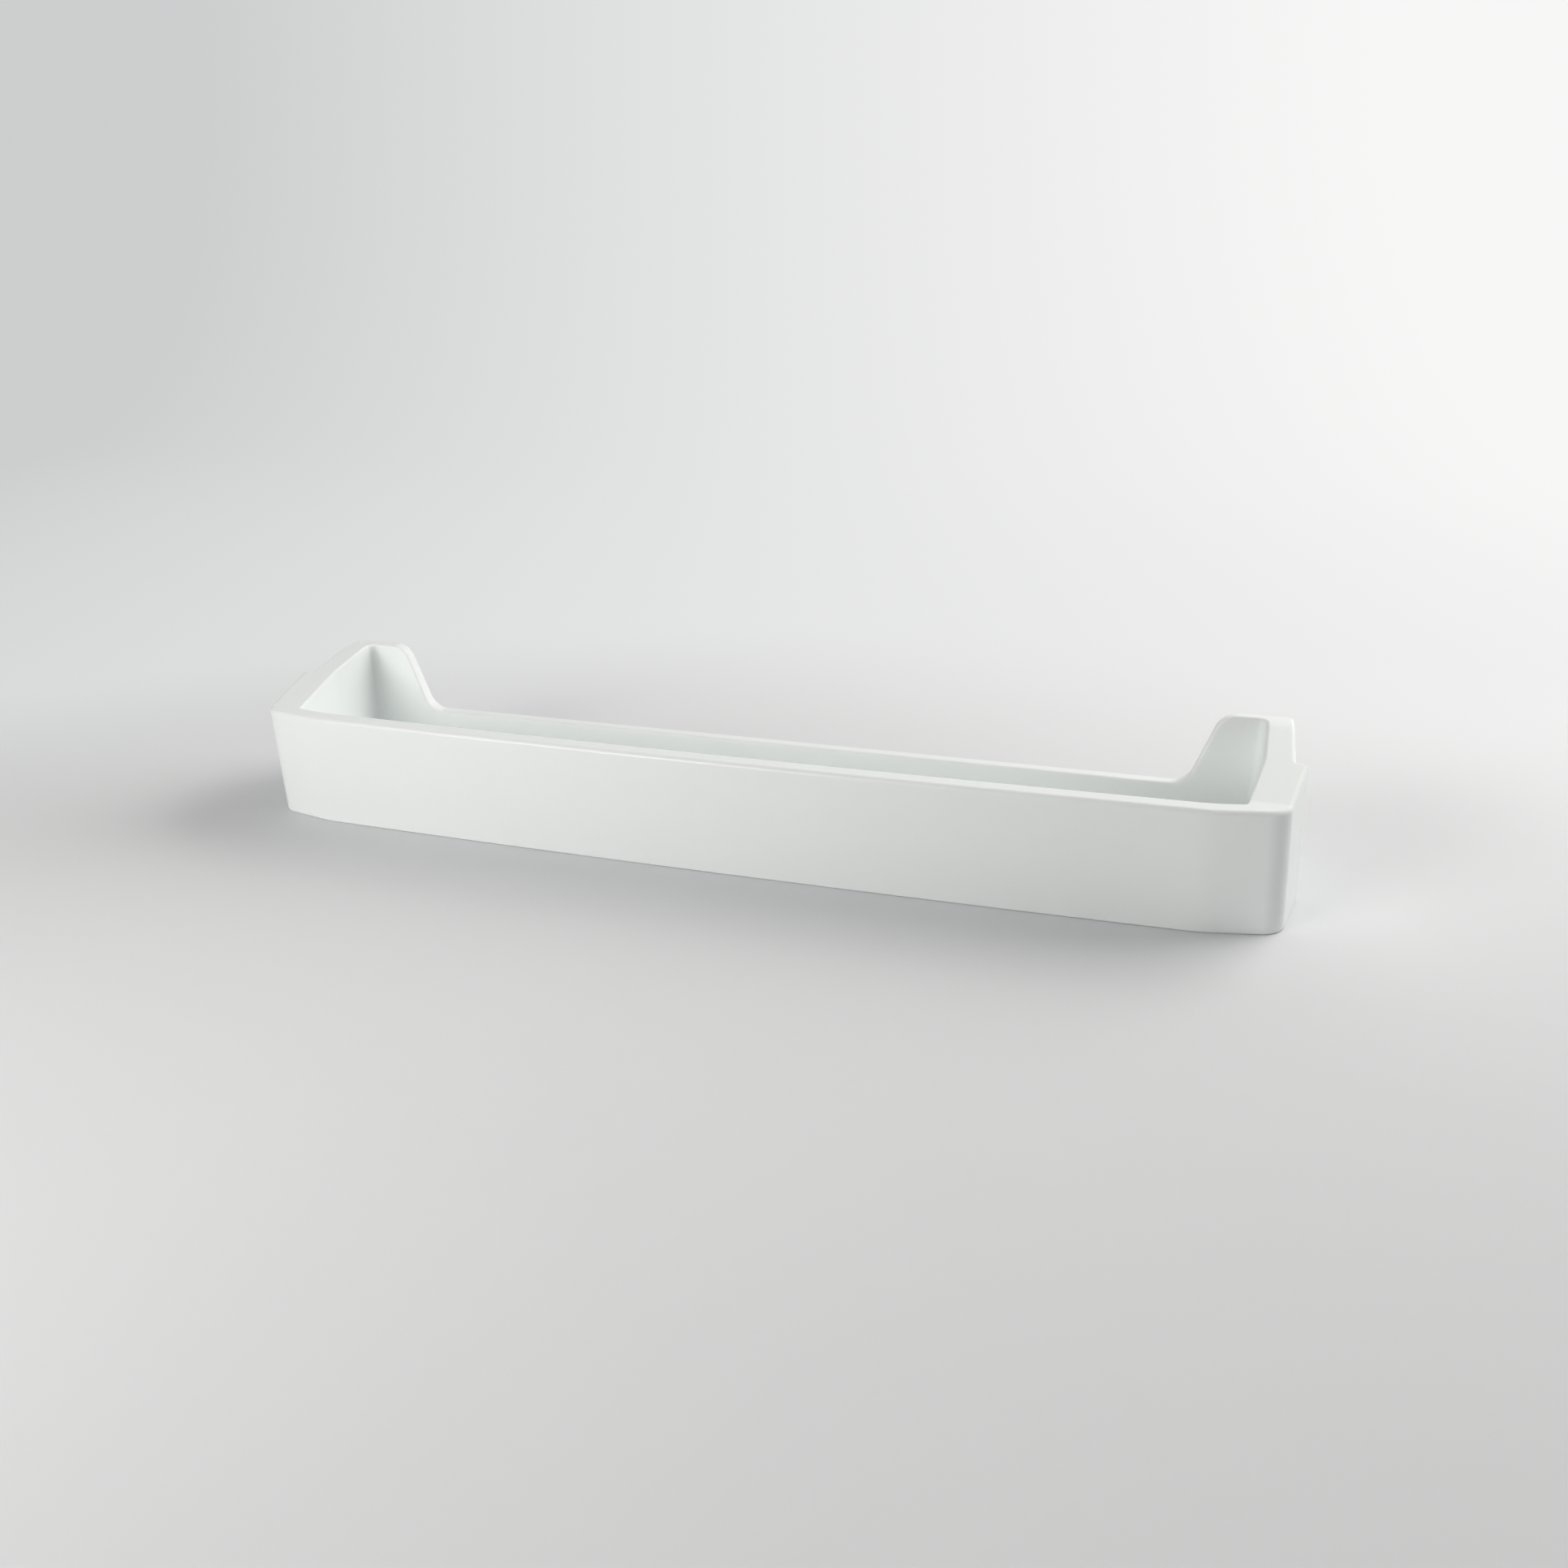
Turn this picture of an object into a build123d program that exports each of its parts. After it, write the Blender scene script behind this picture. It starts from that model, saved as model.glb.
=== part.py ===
from math import cos, radians, sin, tan
import os

from build123d import *

# Refrigerator door bin: one moulded piece, millimetres.
# X runs across the door, Y from the front panel to the door, Z up from the foot edge.

# Plan sizes at rim height
overall_depth = 93.0        # front panel at mid-width to the back of the rear lip
skirt_width = 481.4         # across the side skirts at their rear edge
skirt_step = 5.1            # each side steps in behind its skirt
side_rim_width = 12.6       # side wall face at the step to the compartment, over the rim
front_rim_width = 9.0       # front panel face to the compartment, over the rim
lip_depth = 6.8             # compartment to the back of the rear lip
skirt_setback = 42.0        # rear edge of the skirts to the back of the rear lip
level_rim_depth = 17.6      # front panel to the crease where the side tops start to rise
level_ear_depth = 14.0      # level tops of the ears, from the back of the rear lip
front_bow_radius = 7500.0   # gentle bow of the front panel
facet_reach = 35.2          # soft kink at each end of the bow to the widest line of the skirt
facet_angle = 12.2          # sweep of the straight end facets of the front panel
skirt_angle = 9.4           # skirts open to the rear
side_taper = 2.0            # sides behind the skirts close in to the rear
side_bend_angle = 8.0       # front parts of the compartment sides open to the rear

# Heights above the foot edge
rim_height = 55.0           # front rim
ear_height = 67.5           # tops of the rear ears
low_wall_height = 34.3      # rear wall between the ears
floor_clearance = 3.0       # foot edge to the underside of the floor

# Rear wall outline
ear_width = 31.2            # compartment side to the inner edge of the ear, at the low wall
ear_slope = 21.0            # ear edges lean apart from the vertical

# Walls and drafts
wall = 2.4
front_lean = 5.7            # front panel leans out towards the rim
skirt_draft = 1.5           # skirts open towards the foot
skirt_edge_draft = 2.5      # rear edges of the skirts slope back towards the foot
inner_front_draft = 6.0     # compartment front wall
inner_side_draft = 1.8      # compartment side walls
inner_rear_draft = 1.5      # compartment rear wall

# Roundings
front_corner_round = 11.0   # upright corner of front panel and skirt
front_kink_round = 60.0     # soft kink between bow and end facet
skirt_edge_round = 2.5      # rear upright edge of the skirt
step_root_round = 1.5       # inside corner of the step behind the skirt
rear_corner_round = 3.0     # upright rear corners of the body
inner_corner_round = 2.5    # compartment front corners
side_bend_round = 40.0      # soft bend of the compartment sides
inner_rear_round = 4.0      # compartment rear corners
floor_round = 2.0           # compartment floor to walls
ear_round = 10.0            # shoulders of the ears
valley_round = 10.0         # ear slopes to the low wall
rim_crease_round = 8.0      # front rim to the rising side tops
ear_crease_round = 30.0     # rising side tops to the level ears
rim_round = 2.0             # outer edge of the rim
rim_inner_round = 1.2       # compartment edge of the rim
foot_round = 0.8            # outer foot edge

# Slots in the sides that drop over the lugs of the door liner
lug_slot_width = 14.0
lug_slot_height = 38.0      # foot edge to the round end of the slot
lug_slot_setback = 24.0     # slot centre to the back of the rear lip

# Stiffening ribs in the hollow behind the front panel, spread from kink to kink
rib_thickness = 1.6
rib_count = 7
rib_foot_clearance = 12.0   # foot edge to the lower end of a rib

# Sizes that follow from these
body_width = skirt_width - 2 * skirt_step
compartment_width = body_width - 2 * side_rim_width
kink_x = skirt_width / 2 - facet_reach
mould_height = ear_height + 2 * wall   # drafted shapes run past the rim and are trimmed
cut_margin = 5.0                       # cutters run this far past the faces they trim
near = 0.01                            # places closer than this are the same


def bow_depth(half_width):
    """How far the bow falls back from its middle at this half width."""
    return front_bow_radius - (front_bow_radius**2 - half_width**2) ** 0.5


def facet_corner(front_y, side_x, side_angle):
    """Plan point at rim height where an end facet meets the side line through the skirt edge."""
    kink_y = front_y + bow_depth(kink_x)
    facet_slope = tan(radians(facet_angle))
    side_slope = tan(radians(side_angle))
    reach = side_x - kink_x + side_slope * (kink_y + skirt_setback)
    x = kink_x + reach / (1 - side_slope * facet_slope)
    return x, kink_y + facet_slope * (x - kink_x)


def bowed_block(front_y, lean, inset, low, high):
    """Block with the bowed front panel: a vertical cone that leans out towards the rim."""
    rear_y = cut_margin if inset > 0 else 0
    radii = [front_bow_radius - inset - (rim_height - z) * tan(radians(lean)) for z in (low, high)]
    bow = Cone(*radii, high - low, align=(Align.CENTER, Align.CENTER, Align.MIN))
    block = Box(2 * skirt_width, 2 * overall_depth, high - low, align=(Align.CENTER, Align.MAX, Align.MIN))
    return Pos(0, 0, low) * (Pos(0, rear_y, 0) * block & Pos(0, front_y + front_bow_radius, 0) * bow)


def trimmed(block, walls, inset):
    """Block cut back to flat walls and their mirror images, each moved inwards by inset."""
    for (x, y, z), heading, draft in walls:
        h, d = radians(heading), radians(draft)
        for side in (1, -1):
            outwards = (side * cos(h) * cos(d), sin(h) * cos(d), sin(d))
            face = Plane(origin=(side * x, y, z), z_dir=outwards).offset(-inset)
            block = split(block, bisect_by=face, keep=Keep.BOTTOM)
    return block


def uprights_rounded(block, corners):
    """Block with its mirrored pairs of upright edges rounded, each found by its place at rim height."""
    for (x, y), radius in corners:
        places = [Vector(side * x, y, rim_height) for side in (1, -1)]
        pair = [min(block.edges(), key=lambda e: e.distance_to(place)) for place in places]
        block = fillet(pair, radius)
    return block


def outer_block(inset, low):
    """Outside of the bin, moved inwards by inset, from the height low up past the rim."""
    front_y = -overall_depth
    skirt_x = skirt_width / 2
    body_x = body_width / 2
    kink = (kink_x, front_y + bow_depth(kink_x))
    walls = [
        ((*kink, rim_height), facet_angle - 90, -front_lean),
        ((skirt_x, -skirt_setback, rim_height), -skirt_angle, skirt_draft),
    ]
    block = trimmed(bowed_block(front_y, front_lean, inset, low, mould_height), walls, inset)
    step_point = (body_x, -skirt_setback, rim_height)
    behind_skirt = Plane(step_point, x_dir=(1, 0, 0), z_dir=(0, 1, tan(radians(skirt_edge_draft))))
    side_face = Plane(step_point, z_dir=(1, tan(radians(side_taper)), 0))
    notch = behind_skirt.offset(-inset) * Box(
        skirt_width, skirt_width, skirt_width, align=(Align.CENTER, Align.CENTER, Align.MIN)
    )
    notch = split(notch, bisect_by=side_face.offset(-inset), keep=Keep.TOP)
    block -= [notch, mirror(notch, Plane.YZ)]
    corners = [
        (facet_corner(front_y, skirt_x, skirt_angle), front_corner_round - inset),
        (kink, front_kink_round - inset),
    ]
    if not inset:
        corners += [
            ((skirt_x, -skirt_setback), skirt_edge_round),
            ((body_x, -skirt_setback), step_root_round),
            ((body_x, 0), rear_corner_round),
        ]
    return uprights_rounded(block, corners)


def compartment_block(grow, low):
    """Compartment grown by grow, from the height low up past the rim, with a rounded floor edge."""
    front_y = -overall_depth + front_rim_width
    side_x = compartment_width / 2
    rear_y = -lip_depth - (ear_height - rim_height) * tan(radians(inner_rear_draft))
    kink = (kink_x, front_y + bow_depth(kink_x))
    bend = (side_x, -skirt_setback)
    walls = [
        ((*kink, rim_height), facet_angle - 90, -inner_front_draft),
        ((*bend, rim_height), -side_bend_angle, -inner_side_draft),
        ((*bend, rim_height), 0, -inner_side_draft),
        ((0, rear_y, rim_height), 90, -inner_rear_draft),
    ]
    block = trimmed(bowed_block(front_y, inner_front_draft, -grow, low, mould_height), walls, -grow)
    block = uprights_rounded(block, [
        (facet_corner(front_y, side_x, side_bend_angle), inner_corner_round + grow),
        (kink, front_kink_round + grow),
        (bend, side_bend_round + grow),
        ((side_x, rear_y), inner_rear_round + grow),
    ])
    return fillet(block.faces().sort_by(Axis.Z)[0].edges(), floor_round + grow)


def vertices_at(sketch, x, y):
    """Corners of the sketch at (x, y)."""
    return [v for v in sketch.vertices() if (Vector(v.X, v.Y) - Vector(x, y)).length < near]


def below_rim_top(drop):
    """Everything below the rim surface lowered by drop: level front, rising sides, level ears."""
    front = (-overall_depth - cut_margin, rim_height - drop)
    crease = (-overall_depth + level_rim_depth, rim_height - drop)
    ear = (-level_ear_depth, ear_height - drop)
    rear = (cut_margin, ear_height - drop)
    foot = [(rear[0], -cut_margin), (front[0], -cut_margin)]
    profile = make_face(Polyline(front, crease, ear, rear, *foot, close=True))
    profile = fillet(vertices_at(profile, *crease), rim_crease_round)
    profile = fillet(vertices_at(profile, *ear), ear_crease_round)
    return extrude(Plane.YZ * profile, amount=skirt_width, both=True)


def rear_strip(drop):
    """Rear wall strip below its top edge lowered by drop: two ears and the low wall between."""
    half = skirt_width / 2 + cut_margin
    low_x = compartment_width / 2 - ear_width
    high_x = low_x + (ear_height - low_wall_height) * tan(radians(ear_slope))
    right = [(low_x, low_wall_height), (high_x, ear_height), (half, ear_height), (half, -cut_margin)]
    left = [(-x, z) for x, z in reversed(right)]
    face = make_face(Polyline(*right, *left, close=True))
    for (x, z), radius in zip(right, (valley_round, ear_round)):
        face = fillet(vertices_at(face, x, z) + vertices_at(face, -x, z), radius)
    if drop:
        face = offset(face, amount=-drop, kind=Kind.INTERSECTION)
    return extrude(Plane.XZ * face, amount=overall_depth, both=True)


def behind_rear_wall(setback):
    """Everything behind the compartment's rear wall face, moved back by setback."""
    lean = tan(radians(inner_rear_draft))
    low, high = -cut_margin, mould_height
    front = [(-lip_depth + setback - (ear_height - z) * lean, z) for z in (low, high)]
    profile = make_face(Polyline(*front, (cut_margin, high), (cut_margin, low), close=True))
    return extrude(Plane.YZ * profile, amount=skirt_width, both=True)


def channel():
    """Hollow under the rim, open at the foot, with the ribs behind the front panel left standing."""
    hollow = outer_block(wall, -cut_margin) & below_rim_top(wall)
    hollow -= compartment_block(wall, floor_clearance)
    hollow -= behind_rear_wall(0)
    rib = Box(rib_thickness, 2 * overall_depth, mould_height, align=(Align.CENTER, Align.CENTER, Align.MIN))
    for place in GridLocations(2 * kink_x / (rib_count - 1), 0, rib_count, 1):
        hollow -= place * Pos(0, 0, rib_foot_clearance) * rib
    return hollow


def rear_recess():
    """Space behind the rear wall and under its lip, between the side walls."""
    return behind_rear_wall(wall) & rear_strip(wall) & outer_block(wall, -cut_margin)


def lug_slots():
    """Slots through both side walls, open at the foot, with a round upper end."""
    radius = lug_slot_width / 2
    inside = body_width / 2 - 2 * wall
    profile = Pos(0, lug_slot_height - radius) * Circle(radius)
    profile += Rectangle(lug_slot_width, 2 * (lug_slot_height - radius))
    slot = extrude(Plane.YZ * Pos(-lug_slot_setback, 0) * profile, amount=skirt_width)
    return [Pos(inside, 0, 0) * slot, Pos(-inside - skirt_width, 0, 0) * slot]


def same_place(body, middles):
    """Edges of the body whose middles lie at the given points."""
    return [e for e in body.edges() if min((e @ 0.5 - m).length for m in middles) < near]


def rim_edges(body, inside):
    """Edges around the rim surface, as an outer and an inner loop."""
    lowest = low_wall_height - wall
    steepest = 0.2
    surface = [
        f for f in body.faces() if f.center().Z > lowest and f.normal_at(f.center()).Z > steepest
    ]
    seen = [e for f in surface for e in f.edges()]
    border = [e for e in seen if sum(e.is_same(other) for other in seen) == 1]
    inner = [e for e in border if inside.distance_to(e @ 0.5) < rim_round / 10]
    outer = [e for e in border if e not in inner]
    return outer, inner


def rounded(body, inside, foot):
    """The moulding with its rim and foot edges rounded."""
    outer, inner = rim_edges(body, inside)
    inner_middles = [e @ 0.5 for e in inner]
    foot_middles = [e @ 0.5 for e in body.edges() if foot.distance_to(e @ 0.5) < foot_round / 10]
    body = fillet(outer, rim_round)
    body = fillet(same_place(body, inner_middles), rim_inner_round)
    return fillet(same_place(body, foot_middles), foot_round)


def door_bin():
    """The whole moulding, its footprint centred on the origin."""
    outside = outer_block(0, 0)
    inside = compartment_block(0, floor_clearance + wall)
    foot = outside.faces().sort_by(Axis.Z)[0].outer_wire()
    body = outside & below_rim_top(0)
    body -= behind_rear_wall(-cut_margin) - rear_strip(0)
    body -= inside
    body -= channel()
    body -= rear_recess()
    body -= lug_slots()
    body = rounded(body, inside, foot)
    middle = body.bounding_box().center()
    return Pos(0, -middle.Y, 0) * body


os.makedirs("parts", exist_ok=True)
export_step(door_bin(), "parts/door_bin.step")
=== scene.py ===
from math import cos, radians, sin

import bpy
from mathutils import Matrix, Vector


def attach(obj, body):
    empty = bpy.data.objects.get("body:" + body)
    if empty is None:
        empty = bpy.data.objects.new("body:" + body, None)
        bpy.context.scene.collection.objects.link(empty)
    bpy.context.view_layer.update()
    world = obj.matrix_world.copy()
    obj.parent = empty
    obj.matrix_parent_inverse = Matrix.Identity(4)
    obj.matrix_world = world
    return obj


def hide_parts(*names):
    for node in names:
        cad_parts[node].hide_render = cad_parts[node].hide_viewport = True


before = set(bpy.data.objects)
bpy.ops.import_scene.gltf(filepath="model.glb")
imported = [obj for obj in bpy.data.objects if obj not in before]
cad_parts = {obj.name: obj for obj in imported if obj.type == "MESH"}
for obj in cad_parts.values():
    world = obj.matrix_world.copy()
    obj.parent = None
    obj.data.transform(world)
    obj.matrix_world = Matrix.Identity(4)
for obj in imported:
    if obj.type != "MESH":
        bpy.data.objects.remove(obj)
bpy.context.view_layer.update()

bl_info = {
    "name": "Refrigerator Door Bin",
    "version": (1, 0, 0),
    "blender": (4, 5, 0),
    "location": "View3D > Sidebar > Door Bin",
    "description": "Dresses a moulded refrigerator door bin and sets it in a pale studio",
    "category": "Object",
}

CAD_NODE = "door_bin"
BODY = "root"

FLOW_DETAIL = 3.0
SATIN_DETAIL = 2.0
SINK_DETAIL = 1.0
CLOUD_SPAN = (0.3, 0.7)
PLASTIC_IOR = 1.5
FLAT_WEIGHT = 50
SWEEP_STEPS = 24
# The floor lies a hair under the foot edge, so the two never share a plane.
FLOOR_LEVEL = -0.0001


class MouldingSettings(bpy.types.PropertyGroup):
    """Sizes and colours of the white moulding."""

    weld_distance: bpy.props.FloatProperty(
        name="Weld distance",
        description="Corners of the moulding closer than this are one corner",
        default=0.00001, min=0.0, subtype="DISTANCE", unit="LENGTH", precision=6,
    )
    crease_angle: bpy.props.FloatProperty(
        name="Crease angle",
        description="Edges that turn more than this stay crisp",
        default=radians(32), subtype="ANGLE", unit="ROTATION",
    )
    plastic_colour: bpy.props.FloatVectorProperty(
        name="Plastic colour",
        description="Cool white of the moulded plastic",
        default=(0.858, 0.890, 0.892), size=3, min=0.0, max=1.0, subtype="COLOR",
    )
    flow_colour: bpy.props.FloatVectorProperty(
        name="Flow colour",
        description="Slightly warmer white in the broad flow clouds of the plastic",
        default=(0.868, 0.896, 0.894), size=3, min=0.0, max=1.0, subtype="COLOR",
    )
    flow_size: bpy.props.FloatProperty(
        name="Flow size",
        description="Width of one flow cloud",
        default=0.07, min=0.001, subtype="DISTANCE", unit="LENGTH",
    )
    gloss_low: bpy.props.FloatProperty(
        name="Smoothest roughness",
        description="Roughness of the best polished patches",
        default=0.30, min=0.0, max=1.0, subtype="FACTOR",
    )
    gloss_high: bpy.props.FloatProperty(
        name="Dullest roughness",
        description="Roughness of the dullest patches",
        default=0.42, min=0.0, max=1.0, subtype="FACTOR",
    )
    satin_size: bpy.props.FloatProperty(
        name="Satin grain",
        description="Width of one grain of the satin mould surface",
        default=0.0006, min=0.0001, subtype="DISTANCE", unit="LENGTH", precision=5,
    )
    satin_depth: bpy.props.FloatProperty(
        name="Satin depth",
        description="Height of the satin grain",
        default=0.000004, min=0.0, subtype="DISTANCE", unit="LENGTH", precision=7,
    )
    sink_size: bpy.props.FloatProperty(
        name="Sink size",
        description="Width of the faint waves that cooling leaves in the walls",
        default=0.035, min=0.001, subtype="DISTANCE", unit="LENGTH",
    )
    sink_depth: bpy.props.FloatProperty(
        name="Sink depth",
        description="Height of those faint waves",
        default=0.00004, min=0.0, subtype="DISTANCE", unit="LENGTH", precision=6,
    )


class StudioSettings(bpy.types.PropertyGroup):
    """Floor, lights and camera."""

    floor_colour: bpy.props.FloatVectorProperty(
        name="Floor colour",
        description="Pale grey of the paper sweep",
        default=(0.752, 0.762, 0.785), size=3, min=0.0, max=1.0, subtype="COLOR",
    )
    mottle_colour: bpy.props.FloatVectorProperty(
        name="Mottle colour",
        description="Slightly darker grey of the paper's faint clouds",
        default=(0.735, 0.746, 0.770), size=3, min=0.0, max=1.0, subtype="COLOR",
    )
    mottle_size: bpy.props.FloatProperty(
        name="Mottle size",
        description="Width of one cloud in the paper",
        default=0.12, min=0.001, subtype="DISTANCE", unit="LENGTH",
    )
    # The far backdrop glows: its grey on the left is painted shade and its white on the right is
    # painted light, standing in for a lamp lighting it from the right.
    backdrop_painted_shade: bpy.props.FloatVectorProperty(
        name="Backdrop on the left",
        description="Grey that the far backdrop shows on the left",
        default=(0.610, 0.620, 0.622), size=3, min=0.0, max=1.0, subtype="COLOR",
    )
    backdrop_painted_light: bpy.props.FloatVectorProperty(
        name="Backdrop on the right",
        description="White that the far backdrop shows on the right",
        default=(0.930, 0.930, 0.926), size=3, min=0.0, max=1.0, subtype="COLOR",
    )
    backdrop_span: bpy.props.FloatVectorProperty(
        name="Backdrop span",
        description="Where across the view the backdrop is dimmest and where it is brightest",
        default=(-1.0, 0.85), size=2, subtype="NONE", unit="LENGTH",
    )
    backdrop_ring: bpy.props.FloatVectorProperty(
        name="Backdrop ring",
        description="How far from the floor's middle the backdrop begins and where it is full",
        default=(0.53, 0.87), size=2, subtype="NONE", unit="LENGTH",
    )
    floor_middle: bpy.props.FloatProperty(
        name="Floor middle",
        description="How far in front of the bin the middle of the shaded floor lies",
        default=0.45, subtype="DISTANCE", unit="LENGTH",
    )
    sweep_half_width: bpy.props.FloatProperty(
        name="Sweep half width",
        description="Half the width of the paper sweep",
        default=6.0, subtype="DISTANCE", unit="LENGTH",
    )
    sweep_front: bpy.props.FloatProperty(
        name="Sweep front",
        description="How far the floor reaches in front of the bin",
        default=6.0, subtype="DISTANCE", unit="LENGTH",
    )
    sweep_back: bpy.props.FloatProperty(
        name="Sweep back",
        description="How far behind the bin the paper starts to curve up",
        default=1.0, subtype="DISTANCE", unit="LENGTH",
    )
    sweep_radius: bpy.props.FloatProperty(
        name="Sweep radius",
        description="Radius of the curve from floor to wall",
        default=0.8, subtype="DISTANCE", unit="LENGTH",
    )
    sweep_height: bpy.props.FloatProperty(
        name="Sweep height",
        description="Height of the paper wall",
        default=6.0, subtype="DISTANCE", unit="LENGTH",
    )
    world_strength: bpy.props.FloatProperty(
        name="Room light",
        description="Strength of the even light of the room",
        default=0.04, min=0.0,
    )
    surround_tone: bpy.props.FloatProperty(
        name="Surround tone",
        description="Grey that shows beyond the paper",
        default=0.80, min=0.0, max=1.0,
    )
    lamp_colour: bpy.props.FloatVectorProperty(
        name="Lamp colour",
        description="Slightly warm white of the lamps",
        default=(1.0, 0.98, 0.945),
        size=3, min=0.0, max=1.0, subtype="COLOR",
    )
    key_power: bpy.props.FloatProperty(
        name="Key power",
        description="Power of the lamp behind on the right",
        default=20.5, min=0.0, unit="POWER",
    )
    key_place: bpy.props.FloatVectorProperty(
        name="Key place",
        description="Middle of the lamp behind on the right",
        default=(0.968, 0.757, 0.860), size=3,
        subtype="TRANSLATION", unit="LENGTH",
    )
    key_size: bpy.props.FloatProperty(
        name="Key size",
        description="Side of the lamp behind on the right",
        default=1.2, min=0.01,
        subtype="DISTANCE", unit="LENGTH",
    )
    back_power: bpy.props.FloatProperty(
        name="Back power",
        description="Power of the wide lamp behind",
        default=5.9, min=0.0, unit="POWER",
    )
    back_place: bpy.props.FloatVectorProperty(
        name="Back place",
        description="Middle of the wide lamp behind",
        default=(0.0, 1.337, 0.681), size=3,
        subtype="TRANSLATION", unit="LENGTH",
    )
    back_size: bpy.props.FloatProperty(
        name="Back size",
        description="Side of the wide lamp behind",
        default=1.4, min=0.01,
        subtype="DISTANCE", unit="LENGTH",
    )
    fill_power: bpy.props.FloatProperty(
        name="Fill power",
        description="Power of the lamp in front on the left",
        default=1.98, min=0.0, unit="POWER",
    )
    fill_place: bpy.props.FloatVectorProperty(
        name="Fill place",
        description="Middle of the lamp in front on the left",
        default=(-0.42, -0.80, 0.31), size=3,
        subtype="TRANSLATION", unit="LENGTH",
    )
    fill_size: bpy.props.FloatProperty(
        name="Fill size",
        description="Side of the lamp in front on the left",
        default=0.45, min=0.01,
        subtype="DISTANCE", unit="LENGTH",
    )
    fill_aim: bpy.props.FloatVectorProperty(
        name="Fill aim",
        description="Point of the bin that the fill lamp is turned to",
        default=(-0.10, -0.05, 0.03), size=3, subtype="TRANSLATION", unit="LENGTH",
    )
    fill_spread: bpy.props.FloatProperty(
        name="Fill spread",
        description="Angle that the grid on the fill lamp leaves open",
        default=radians(110), min=0.0, max=radians(180), subtype="ANGLE", unit="ROTATION",
    )
    top_power: bpy.props.FloatProperty(
        name="Top power",
        description="Power of the wide lamp overhead",
        default=5.3, min=0.0, unit="POWER",
    )
    top_place: bpy.props.FloatVectorProperty(
        name="Top place",
        description="Middle of the wide lamp overhead",
        default=(0.0, -0.10, 1.50), size=3,
        subtype="TRANSLATION", unit="LENGTH",
    )
    top_size: bpy.props.FloatProperty(
        name="Top size",
        description="Side of the wide lamp overhead",
        default=1.8, min=0.01,
        subtype="DISTANCE", unit="LENGTH",
    )
    camera_place: bpy.props.FloatVectorProperty(
        name="Camera place",
        description="Where the camera stands",
        default=(0.21030, -0.57687, 0.26149),
        size=3, subtype="TRANSLATION", unit="LENGTH", precision=5,
    )
    camera_azimuth: bpy.props.FloatProperty(
        name="Camera azimuth",
        description="Turn of the view round the bin",
        default=radians(18.558),
        subtype="ANGLE", unit="ROTATION",
    )
    camera_elevation: bpy.props.FloatProperty(
        name="Camera elevation",
        description="How far the view looks down",
        default=radians(20.866),
        subtype="ANGLE", unit="ROTATION",
    )
    camera_roll: bpy.props.FloatProperty(
        name="Camera roll",
        description="Tilt of the picture",
        default=radians(-0.68),
        subtype="ANGLE", unit="ROTATION",
    )
    camera_lens: bpy.props.FloatProperty(
        name="Camera lens",
        description="Focal length in millimetres on a 36 mm wide sensor",
        default=32.61,
    )


def add_node(tree, kind, **settings):
    """A new node of this kind with these settings."""
    node = tree.nodes.new(kind)
    for name, value in settings.items():
        setattr(node, name, value)
    return node


def set_span(node, side, span):
    """Sets both ends of one side of a Map Range node."""
    for end, value in zip(("Min", "Max"), span):
        node.inputs[f"{side} {end}"].default_value = value


def plastic_material(settings):
    """White moulded plastic: flow clouds, patchy polish, satin grain and faint sink waves."""
    material = bpy.data.materials.new("white_moulded_plastic")
    material.use_nodes = True
    tree = material.node_tree
    tree.nodes.clear()
    link = tree.links.new
    place = add_node(tree, "ShaderNodeTexCoord")

    def noise(size, detail):
        node = add_node(tree, "ShaderNodeTexNoise")
        node.inputs["Scale"].default_value = 1.0 / size
        node.inputs["Detail"].default_value = detail
        link(place.outputs["Object"], node.inputs["Vector"])
        return node

    flow = noise(settings.flow_size, FLOW_DETAIL)
    satin = noise(settings.satin_size, SATIN_DETAIL)
    sink = noise(settings.sink_size, SINK_DETAIL)

    tint = add_node(tree, "ShaderNodeMix", data_type="RGBA")
    tint.inputs["A"].default_value = (*settings.plastic_colour, 1.0)
    tint.inputs["B"].default_value = (*settings.flow_colour, 1.0)
    link(flow.outputs["Fac"], tint.inputs["Factor"])

    polish = add_node(tree, "ShaderNodeMapRange")
    set_span(polish, "From", CLOUD_SPAN)
    set_span(polish, "To", (settings.gloss_low, settings.gloss_high))
    link(flow.outputs["Fac"], polish.inputs["Value"])

    waves = add_node(tree, "ShaderNodeBump")
    waves.inputs["Distance"].default_value = settings.sink_depth
    link(sink.outputs["Fac"], waves.inputs["Height"])
    grain = add_node(tree, "ShaderNodeBump")
    grain.inputs["Distance"].default_value = settings.satin_depth
    link(satin.outputs["Fac"], grain.inputs["Height"])
    link(waves.outputs["Normal"], grain.inputs["Normal"])

    plastic = add_node(tree, "ShaderNodeBsdfPrincipled")
    plastic.inputs["IOR"].default_value = PLASTIC_IOR
    link(tint.outputs["Result"], plastic.inputs["Base Color"])
    link(polish.outputs["Result"], plastic.inputs["Roughness"])
    link(grain.outputs["Normal"], plastic.inputs["Normal"])
    output = add_node(tree, "ShaderNodeOutputMaterial")
    link(plastic.outputs["BSDF"], output.inputs["Surface"])
    return material


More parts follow.
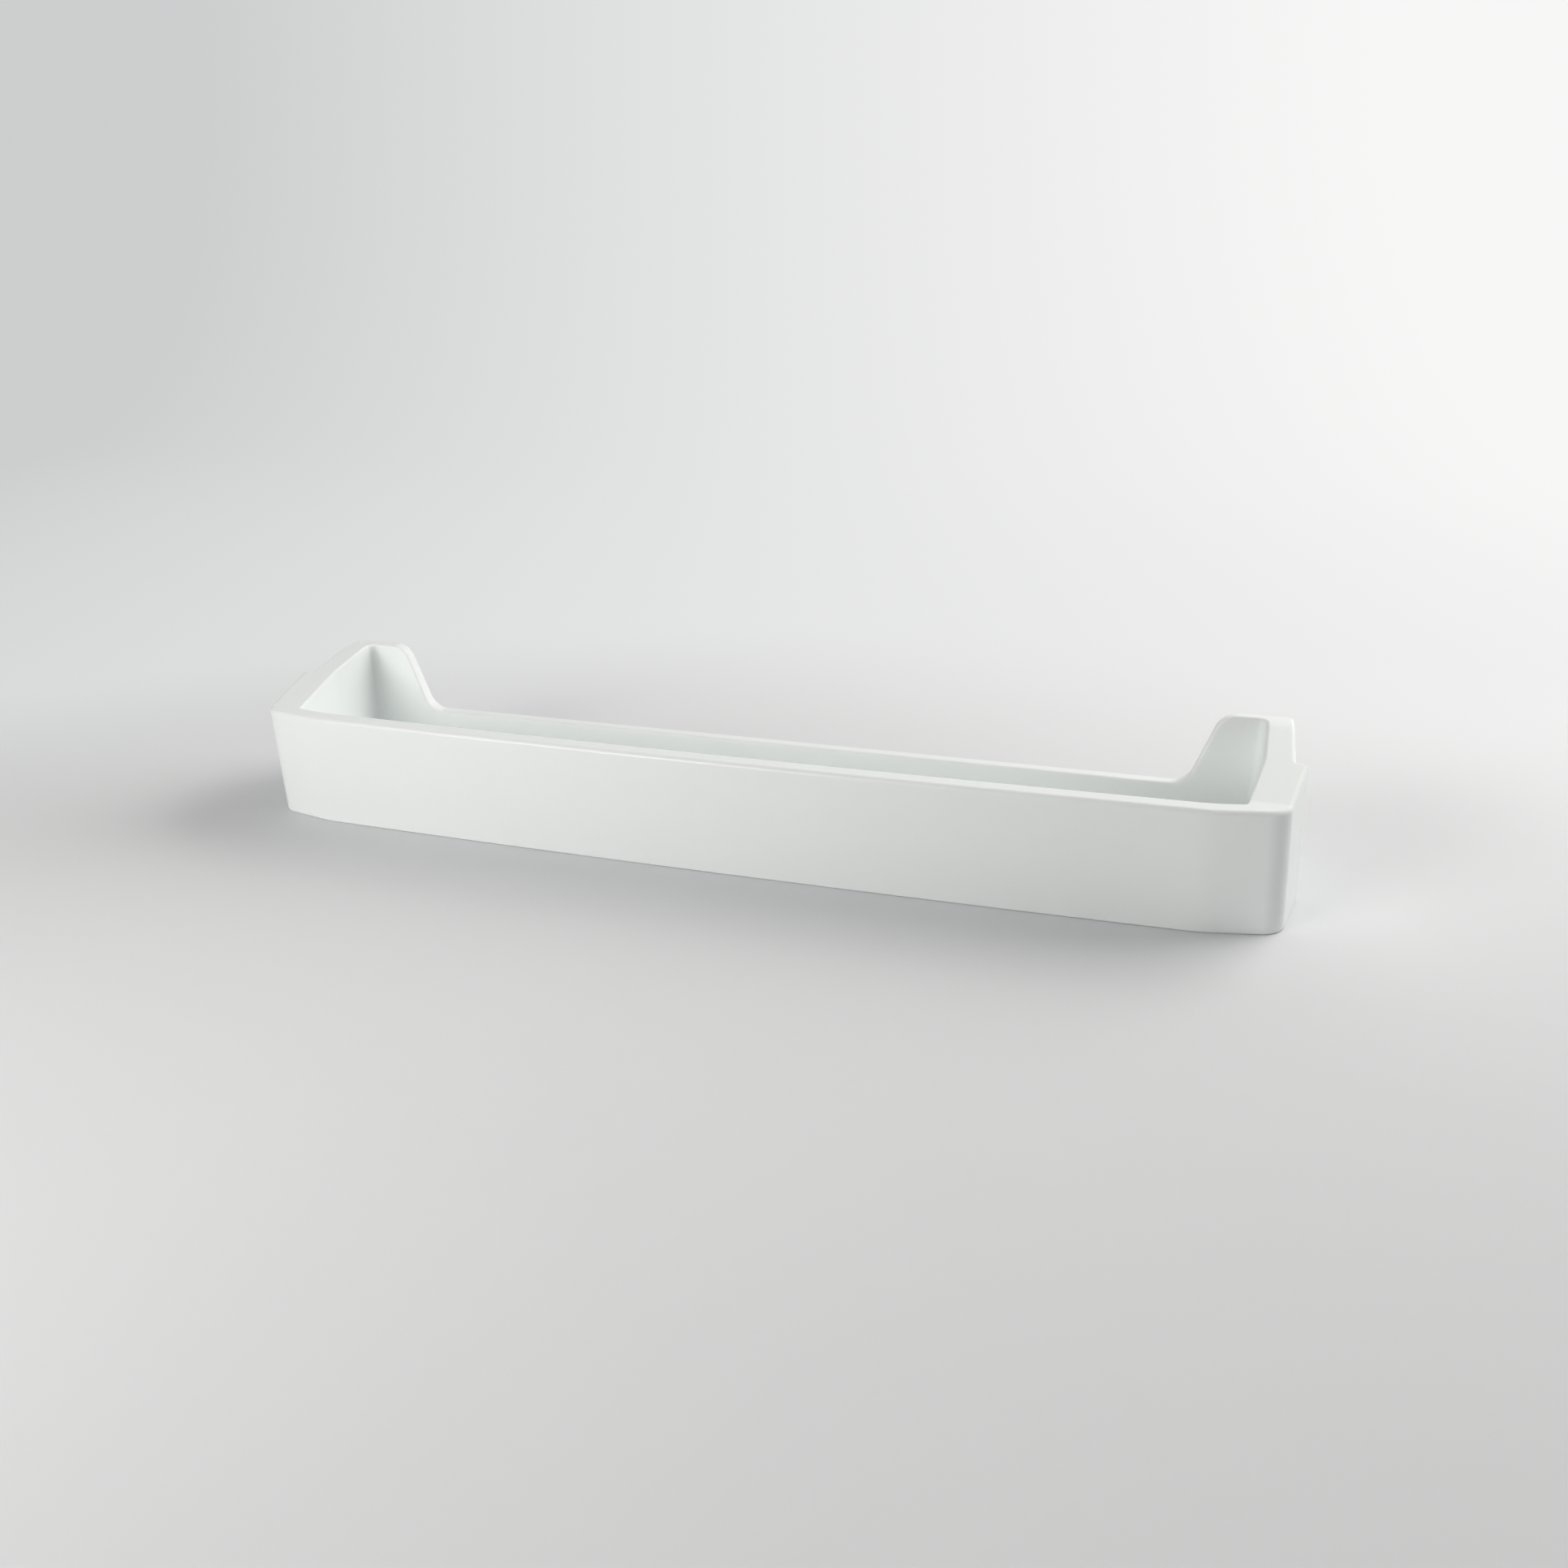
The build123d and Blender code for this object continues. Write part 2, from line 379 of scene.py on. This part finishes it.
def smooth_moulding_tree():
    """Geometry Nodes that weld the facets, smooth the roundings and keep the creases crisp."""
    tree = bpy.data.node_groups.new("smooth_moulding", "GeometryNodeTree")
    interface = tree.interface
    interface.new_socket("Geometry", in_out="INPUT", socket_type="NodeSocketGeometry")
    interface.new_socket("Weld Distance", in_out="INPUT", socket_type="NodeSocketFloat")
    interface.new_socket("Crease Angle", in_out="INPUT", socket_type="NodeSocketFloat")
    interface.new_socket("Finish", in_out="INPUT", socket_type="NodeSocketMaterial")
    interface.new_socket("Geometry", in_out="OUTPUT", socket_type="NodeSocketGeometry")
    link = tree.links.new
    source = add_node(tree, "NodeGroupInput")
    weld = add_node(tree, "GeometryNodeMergeByDistance")
    link(source.outputs["Geometry"], weld.inputs["Geometry"])
    link(source.outputs["Weld Distance"], weld.inputs["Distance"])
    turn = add_node(tree, "GeometryNodeInputMeshEdgeAngle")
    crisp = add_node(tree, "FunctionNodeCompare", data_type="FLOAT", operation="GREATER_THAN")
    link(turn.outputs["Unsigned Angle"], crisp.inputs["A"])
    link(source.outputs["Crease Angle"], crisp.inputs["B"])
    smooth_faces = add_node(tree, "GeometryNodeSetShadeSmooth", domain="FACE")
    smooth_faces.inputs["Shade Smooth"].default_value = True
    link(weld.outputs["Geometry"], smooth_faces.inputs["Geometry"])
    crisp_edges = add_node(tree, "GeometryNodeSetShadeSmooth", domain="EDGE")
    crisp_edges.inputs["Shade Smooth"].default_value = False
    link(smooth_faces.outputs["Geometry"], crisp_edges.inputs["Geometry"])
    link(crisp.outputs["Result"], crisp_edges.inputs["Selection"])
    solid = add_node(tree, "GeometryNodeRealizeInstances")
    link(crisp_edges.outputs["Geometry"], solid.inputs["Geometry"])
    finish = add_node(tree, "GeometryNodeSetMaterial")
    link(solid.outputs["Geometry"], finish.inputs["Geometry"])
    link(source.outputs["Finish"], finish.inputs["Material"])
    result = add_node(tree, "NodeGroupOutput")
    link(finish.outputs["Geometry"], result.inputs["Geometry"])
    return tree


def set_input(modifier, name, value):
    """Sets a Geometry Nodes input by its socket's identifier."""
    for item in modifier.node_group.interface.items_tree:
        if item.in_out == "INPUT" and item.name == name:
            modifier[item.identifier] = value
            return
    raise RuntimeError(f"no input named {name}")


class DOORBIN_OT_moulding(bpy.types.Operator):
    """Make the smooth white moulding that stands for the bin"""

    bl_idname = "door_bin.moulding"
    bl_label = "Moulding"

    def execute(self, context):
        settings = context.scene.door_bin_moulding
        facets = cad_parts[CAD_NODE].data.copy()
        facets.materials.clear()
        piece = bpy.data.objects.new("bin_moulding", facets)
        context.scene.collection.objects.link(piece)
        modifier = piece.modifiers.new("smooth_moulding", "NODES")
        modifier.node_group = smooth_moulding_tree()
        set_input(modifier, "Weld Distance", settings.weld_distance)
        set_input(modifier, "Crease Angle", settings.crease_angle)
        set_input(modifier, "Finish", plastic_material(settings))
        flats_first = piece.modifiers.new("flats_first", "WEIGHTED_NORMAL")
        flats_first.mode = "FACE_AREA_WITH_ANGLE"
        flats_first.weight = FLAT_WEIGHT
        flats_first.keep_sharp = True
        context.view_layer.update()
        evaluated = piece.evaluated_get(context.evaluated_depsgraph_get())
        mesh = bpy.data.meshes.new_from_object(evaluated)
        piece.modifiers.clear()
        piece.data = mesh
        mesh.name = piece.name
        bpy.data.meshes.remove(facets)
        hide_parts(CAD_NODE)
        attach(piece, BODY)
        return {"FINISHED"}


def seen_directly(tree):
    """Socket that is 1 for what is seen, also in gloss or through glass, and 0 for lighting."""
    ray = add_node(tree, "ShaderNodeLightPath")
    seen = ray.outputs["Is Camera Ray"]
    for other in ("Is Glossy Ray", "Is Transmission Ray"):
        either = add_node(tree, "ShaderNodeMath", operation="MAXIMUM")
        tree.links.new(seen, either.inputs[0])
        tree.links.new(ray.outputs[other], either.inputs[1])
        seen = either.outputs["Value"]
    return seen


def room_world(settings):
    """Faint even room light, seen as a pale surround."""
    world = bpy.data.worlds.new("room")
    world.use_nodes = True
    tree = world.node_tree
    tree.nodes.clear()
    strength = add_node(tree, "ShaderNodeMapRange")
    set_span(strength, "To", (settings.world_strength, settings.surround_tone))
    tree.links.new(seen_directly(tree), strength.inputs["Value"])
    room = add_node(tree, "ShaderNodeBackground")
    room.inputs["Color"].default_value = (1.0, 1.0, 1.0, 1.0)
    tree.links.new(strength.outputs["Result"], room.inputs["Strength"])
    output = add_node(tree, "ShaderNodeOutputWorld")
    tree.links.new(room.outputs["Background"], output.inputs["Surface"])
    return world


def paper_material(settings):
    """Matt pale paper that takes the bin's shadow and fades all round into a glowing backdrop, with
    painted shade on the left and painted light on the right.
    """
    material = bpy.data.materials.new("pale_paper")
    material.use_nodes = True
    tree = material.node_tree
    tree.nodes.clear()
    link = tree.links.new
    place = add_node(tree, "ShaderNodeTexCoord")

    clouds = add_node(tree, "ShaderNodeTexNoise")
    clouds.inputs["Scale"].default_value = 1.0 / settings.mottle_size
    link(place.outputs["Object"], clouds.inputs["Vector"])
    mottle = add_node(tree, "ShaderNodeMix", data_type="RGBA")
    mottle.inputs["A"].default_value = (*settings.floor_colour, 1.0)
    mottle.inputs["B"].default_value = (*settings.mottle_colour, 1.0)
    link(clouds.outputs["Fac"], mottle.inputs["Factor"])
    paper = add_node(tree, "ShaderNodeBsdfDiffuse")
    link(mottle.outputs["Result"], paper.inputs["Color"])

    turned = add_node(tree, "ShaderNodeMapping")
    turned.inputs["Rotation"].default_value = (0.0, 0.0, -settings.camera_azimuth)
    link(place.outputs["Object"], turned.inputs["Vector"])
    axes = add_node(tree, "ShaderNodeSeparateXYZ")
    link(turned.outputs["Vector"], axes.inputs["Vector"])
    across = add_node(tree, "ShaderNodeMapRange")
    set_span(across, "From", settings.backdrop_span)
    link(axes.outputs["X"], across.inputs["Value"])
    # Painted shade and light: the glowing backdrop runs from painted shade on the left to painted
    # light on the right.
    tone = add_node(tree, "ShaderNodeMix", data_type="RGBA")
    tone.inputs["A"].default_value = (*settings.backdrop_painted_shade, 1.0)
    tone.inputs["B"].default_value = (*settings.backdrop_painted_light, 1.0)
    link(across.outputs["Result"], tone.inputs["Factor"])
    backdrop = add_node(tree, "ShaderNodeEmission")
    link(tone.outputs["Result"], backdrop.inputs["Color"])

    middle = add_node(tree, "ShaderNodeVectorMath", operation="DISTANCE")
    middle.inputs[1].default_value = (0.0, -settings.floor_middle, 0.0)
    link(turned.outputs["Vector"], middle.inputs[0])
    far = add_node(tree, "ShaderNodeMapRange", interpolation_type="SMOOTHSTEP")
    set_span(far, "From", settings.backdrop_ring)
    link(middle.outputs["Value"], far.inputs["Value"])
    share = add_node(tree, "ShaderNodeMath", operation="MULTIPLY")
    link(seen_directly(tree), share.inputs[0])
    link(far.outputs["Result"], share.inputs[1])
    blend = add_node(tree, "ShaderNodeMixShader")
    link(share.outputs["Value"], blend.inputs["Fac"])
    link(paper.outputs["BSDF"], blend.inputs[1])
    link(backdrop.outputs["Emission"], blend.inputs[2])
    output = add_node(tree, "ShaderNodeOutputMaterial")
    link(blend.outputs["Shader"], output.inputs["Surface"])
    return material


def paper_sweep(settings):
    """Floor that curves up into a wall behind the bin."""
    profile = [(-settings.sweep_front, FLOOR_LEVEL)]
    for step in range(SWEEP_STEPS + 1):
        turn = radians(90) * step / SWEEP_STEPS
        profile.append((
            settings.sweep_back + settings.sweep_radius * sin(turn),
            FLOOR_LEVEL + settings.sweep_radius * (1 - cos(turn)),
        ))
    profile.append((profile[-1][0], settings.sweep_height))
    half = settings.sweep_half_width
    corners = [(x, y, z) for y, z in profile for x in (-half, half)]
    faces = [(2 * i, 2 * i + 1, 2 * i + 3, 2 * i + 2) for i in range(len(profile) - 1)]
    mesh = bpy.data.meshes.new("paper_sweep")
    mesh.from_pydata(corners, [], faces)
    mesh.shade_smooth()
    mesh.materials.append(paper_material(settings))
    sweep = bpy.data.objects.new("paper_sweep", mesh)
    return sweep


def square_lamp(name, place, size, power, colour):
    """Square soft lamp that points at the bin and leaves no highlight of its own."""
    light = bpy.data.lights.new(name, "AREA")
    light.shape = "SQUARE"
    light.size = size
    light.energy = power
    light.color = colour
    lamp = bpy.data.objects.new(name, light)
    lamp.visible_camera = False
    lamp.visible_glossy = False
    lamp.location = place
    turn_lamp(lamp, Vector())
    return lamp


def turn_lamp(lamp, aim):
    """Points a lamp at a place."""
    lamp.rotation_mode = "QUATERNION"
    lamp.rotation_quaternion = (Vector(aim) - lamp.location).to_track_quat("-Z", "Y")


def fill_lamp(settings):
    """Gridded lamp turned to the left of the front, seen as highlights on the roundings."""
    lamp = square_lamp(
        "fill_lamp", settings.fill_place, settings.fill_size, settings.fill_power, settings.lamp_colour
    )
    lamp.data.spread = settings.fill_spread
    lamp.visible_glossy = True
    turn_lamp(lamp, settings.fill_aim)
    return lamp


def photo_camera(settings):
    """Camera at the photograph's viewing angle."""
    azimuth, elevation = settings.camera_azimuth, settings.camera_elevation
    ahead = Vector((
        -sin(azimuth) * cos(elevation),
        cos(azimuth) * cos(elevation),
        -sin(elevation),
    ))
    level = Vector((cos(azimuth), sin(azimuth), 0.0))
    above = level.cross(ahead)
    right = cos(settings.camera_roll) * level + sin(settings.camera_roll) * above
    up = right.cross(ahead)
    turn = Matrix((right, up, -ahead)).transposed().to_4x4()
    data = bpy.data.cameras.new("photo_camera")
    data.lens = settings.camera_lens
    camera = bpy.data.objects.new("photo_camera", data)
    camera.matrix_world = Matrix.Translation(settings.camera_place) @ turn
    return camera


class DOORBIN_OT_stage(bpy.types.Operator):
    """Lay the paper sweep, hang the lamps and place the camera"""

    bl_idname = "door_bin.stage"
    bl_label = "Studio stage"

    def execute(self, context):
        settings = context.scene.door_bin_studio
        scene = context.scene
        camera = photo_camera(settings)
        warm = settings.lamp_colour
        stage = [
            paper_sweep(settings),
            square_lamp(
                "key_lamp", settings.key_place, settings.key_size, settings.key_power, warm
            ),
            square_lamp(
                "back_lamp", settings.back_place, settings.back_size, settings.back_power, warm
            ),
            fill_lamp(settings),
            square_lamp(
                "top_lamp", settings.top_place, settings.top_size, settings.top_power, warm
            ),
            camera,
        ]
        for item in stage:
            scene.collection.objects.link(item)
        scene.camera = camera
        scene.world = room_world(settings)
        scene.view_settings.view_transform = "Standard"
        return {"FINISHED"}


class DOORBIN_PT_panel(bpy.types.Panel):
    """Pieces and settings of the door bin"""

    bl_idname = "DOORBIN_PT_panel"
    bl_label = "Door Bin"
    bl_space_type = "VIEW_3D"
    bl_region_type = "UI"
    bl_category = "Door Bin"

    def draw(self, context):
        for operator, group in (
            (DOORBIN_OT_moulding, context.scene.door_bin_moulding),
            (DOORBIN_OT_stage, context.scene.door_bin_studio),
        ):
            self.layout.operator(operator.bl_idname)
            column = self.layout.column()
            for name in group.__annotations__:
                column.prop(group, name)


CLASSES = (
    MouldingSettings,
    StudioSettings,
    DOORBIN_OT_moulding,
    DOORBIN_OT_stage,
    DOORBIN_PT_panel,
)


def register():
    for item in CLASSES:
        bpy.utils.register_class(item)
    bpy.types.Scene.door_bin_moulding = bpy.props.PointerProperty(type=MouldingSettings)
    bpy.types.Scene.door_bin_studio = bpy.props.PointerProperty(type=StudioSettings)


def unregister():
    del bpy.types.Scene.door_bin_studio
    del bpy.types.Scene.door_bin_moulding
    for item in reversed(CLASSES):
        bpy.utils.unregister_class(item)


def main():
    register()
    bpy.ops.door_bin.moulding()
    bpy.ops.door_bin.stage()


if __name__ == "__main__":
    main()
